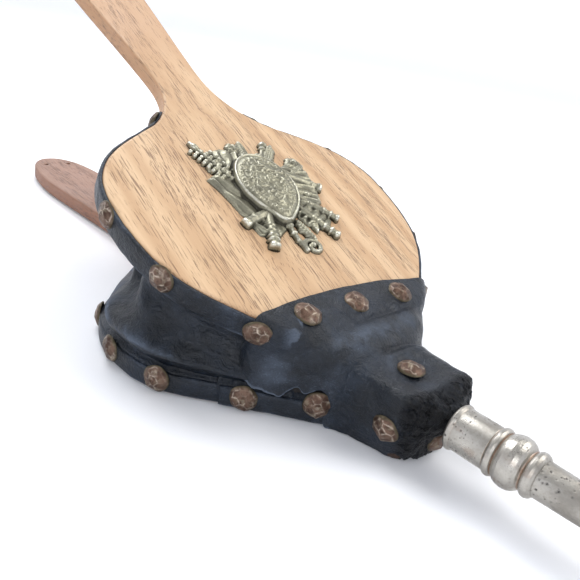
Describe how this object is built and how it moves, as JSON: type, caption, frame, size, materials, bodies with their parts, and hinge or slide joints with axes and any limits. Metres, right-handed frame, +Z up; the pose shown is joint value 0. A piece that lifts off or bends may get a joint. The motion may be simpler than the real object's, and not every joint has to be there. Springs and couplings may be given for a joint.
{
  "type": "hand bellows",
  "caption": "Pear-shaped wooden hand bellows with a leather bag, hinged top board, leather-wrapped nose, turned metal nozzle and inlet flap valve.",
  "frame": {"origin": "on the underside of the bottom board, on its centreline, below the boards' shoulder line at the hinge end", "axes": "+X towards the nozzle, +Y across the boards, +Z up from the bottom board towards the top board"},
  "size_m": [0.5613, 0.1698, 0.167],
  "materials": {
    "oak": "oiled oak, open pores, worn",
    "lower_wood": "stained and worn, grey-brown",
    "leather": "blue-black, satin, scuffed and cracked",
    "inner_leather": "undyed, matt",
    "nail_bronze": "hammered, bronzed, worn bright on the facets",
    "tack_iron": "blued iron",
    "screw_steel": "dull, aged",
    "nozzle_metal": "worn nickel plate, pitted",
    "inner_brass": "dull brass strip",
    "pewter": "cast pewter, dark in its hollows"
  },
  "bodies": {
    "base": {"bottom_board": "lower_wood", "nose_block": "lower_wood", "nose_screws": "screw_steel", "nozzle_collar": "nozzle_metal", "nozzle_tube": "nozzle_metal", "bottom_rim_band": "leather", "bottom_rim_nails": "nail_bronze", "front_strip": "leather", "strip_nails": "nail_bronze", "nose_apron": "leather", "nose_nails": "nail_bronze", "hinge_leather": "inner_leather", "hinge_tacks_nose": "tack_iron", "gusset_leather": "leather", "valve_hinge_strip": "inner_leather", "valve_strap": "inner_brass", "valve_tacks": "tack_iron"},
    "upper_board": {"top_board": "oak", "top_rim_band": "leather", "top_rim_nails": "nail_bronze", "apron_nails": "nail_bronze", "hinge_tacks_top": "tack_iron", "ornament_casting": "pewter", "ornament_pins": "pewter"},
    "inlet_flap": {"valve_flap": "inner_leather", "valve_stiffener": "lower_wood", "stiffener_tacks": "tack_iron"}
  },
  "joints": [
    {"name": "board_hinge", "type": "hinge", "parent": "base", "child": "upper_board", "pos_m": [0.011, 0, 0.0295], "axis": [0, 1, 0], "range_deg": [-20, 8], "deforming": ["gusset_leather", "nose_apron", "hinge_leather"]},
    {"name": "flap_hinge", "type": "hinge", "parent": "base", "child": "inlet_flap", "pos_m": [-0.044, 0, 0.0103], "axis": [0, 1, 0], "range_deg": [0, 12]}
  ]
}
